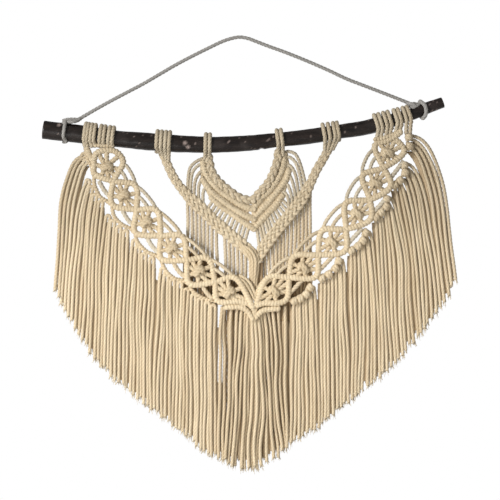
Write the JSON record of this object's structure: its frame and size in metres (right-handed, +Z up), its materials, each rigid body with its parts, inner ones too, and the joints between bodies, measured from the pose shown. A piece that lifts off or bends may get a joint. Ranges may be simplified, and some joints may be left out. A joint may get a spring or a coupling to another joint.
{
  "type": "macrame wall hanging on a branch",
  "caption": "Knotted cotton cord wall hanging with a deep V of diamonds and a long pointed fringe, tied to a dark branch with a cord to hang it by.",
  "frame": {"origin": "hang point: where the underside of the hanger cord bears on its nail or hook", "axes": "+X to the right along the branch as seen from the front, +Y back towards the wall, +Z up"},
  "size_m": [0.465, 0.0286, 0.4837],
  "materials": {
    "bark": "dry dark bark with a slight sheen",
    "hanger_cord": "grey twisted cord",
    "cotton_cord": "matte beige twisted cotton cord"
  },
  "bodies": {
    "root": {"branch": "bark", "hanger_cord": "hanger_cord", "hitch_left": "hanger_cord", "hitch_right": "hanger_cord", "arm_left": "cotton_cord", "arm_right": "cotton_cord", "chevron_left": "cotton_cord", "chevron_right": "cotton_cord", "braid_left": "cotton_cord", "braid_right": "cotton_cord", "fringe_left": "cotton_cord", "fringe_right": "cotton_cord", "fringe_centre": "cotton_cord", "back_fringe_left": "cotton_cord", "back_fringe_right": "cotton_cord"}
  },
  "joints": []
}
